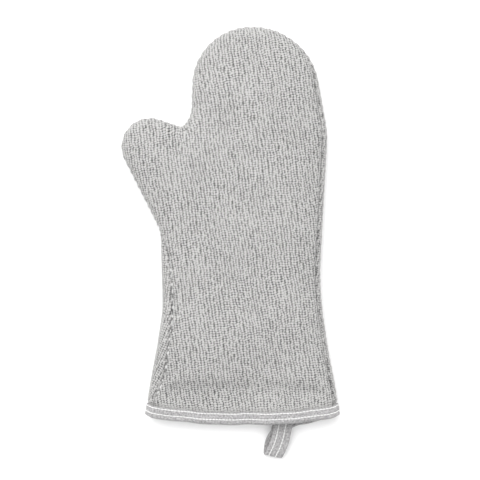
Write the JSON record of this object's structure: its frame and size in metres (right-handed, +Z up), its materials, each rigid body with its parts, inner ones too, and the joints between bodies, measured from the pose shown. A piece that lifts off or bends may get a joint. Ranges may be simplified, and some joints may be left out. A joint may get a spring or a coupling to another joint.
{
  "type": "oven mitt",
  "caption": "Padded terry oven mitt lying flat, with a taped cuff and a hanging loop; the fingers, thumb and loop fold on hinges.",
  "frame": {"origin": "on the table under the centre line of the cuff, 15 mm up the mitt from the corners of the cuff", "axes": "+Y along the mitt to the fingertips, +Z up through the two walls, +X away from the thumb"},
  "size_m": [0.2083, 0.4113, 0.024],
  "materials": {
    "terry": "ribbed terry cloth in mottled light grey, matt",
    "binding_tape": "smooth mottled grey cotton tape, matt",
    "thread": "white sewing thread, slight sheen",
    "lining": "plain woven off-white cotton, matt",
    "batting": "lofty white fibre wadding, matt"
  },
  "bodies": {
    "palm": {"shell_front_palm": "terry", "shell_back_palm": "terry", "batting_front_palm": "batting", "batting_back_palm": "batting", "lining_front_palm": "lining", "lining_back_palm": "lining", "shell_seam_palm": "terry", "lining_seam_palm": "lining", "cuff_binding": "binding_tape", "binding_stitch_upper": "thread", "binding_stitch_lower": "thread", "loop_tails": "binding_tape", "loop_bar_tack": "thread"},
    "fingers": {"shell_front_fingers": "terry", "shell_back_fingers": "terry", "batting_front_fingers": "batting", "batting_back_fingers": "batting", "lining_front_fingers": "lining", "lining_back_fingers": "lining", "shell_seam_fingers": "terry", "lining_seam_fingers": "lining"},
    "thumb": {"shell_front_thumb": "terry", "shell_back_thumb": "terry", "batting_front_thumb": "batting", "batting_back_thumb": "batting", "lining_front_thumb": "lining", "lining_back_thumb": "lining", "shell_seam_thumb": "terry", "lining_seam_thumb": "lining"},
    "hanging_loop": {"hanging_loop": "binding_tape", "loop_stitch_left": "thread", "loop_stitch_right": "thread"}
  },
  "joints": [
    {"name": "finger_fold", "type": "hinge", "parent": "palm", "child": "fingers", "pos_m": [0.0147, 0.2814, 0.024], "axis": [1, 0, 0], "range_deg": [0, 80]},
    {"name": "thumb_fold", "type": "hinge", "parent": "palm", "child": "thumb", "pos_m": [-0.071, 0.26405, 0.024], "axis": [0.3322, 0.9432, 0], "range_deg": [0, 75]},
    {"name": "loop_swing", "type": "hinge", "parent": "palm", "child": "hanging_loop", "pos_m": [0.035, -0.03058, 0.0095], "axis": [-0.9781, 0.2079, 0], "range_deg": [-65, 95]}
  ]
}
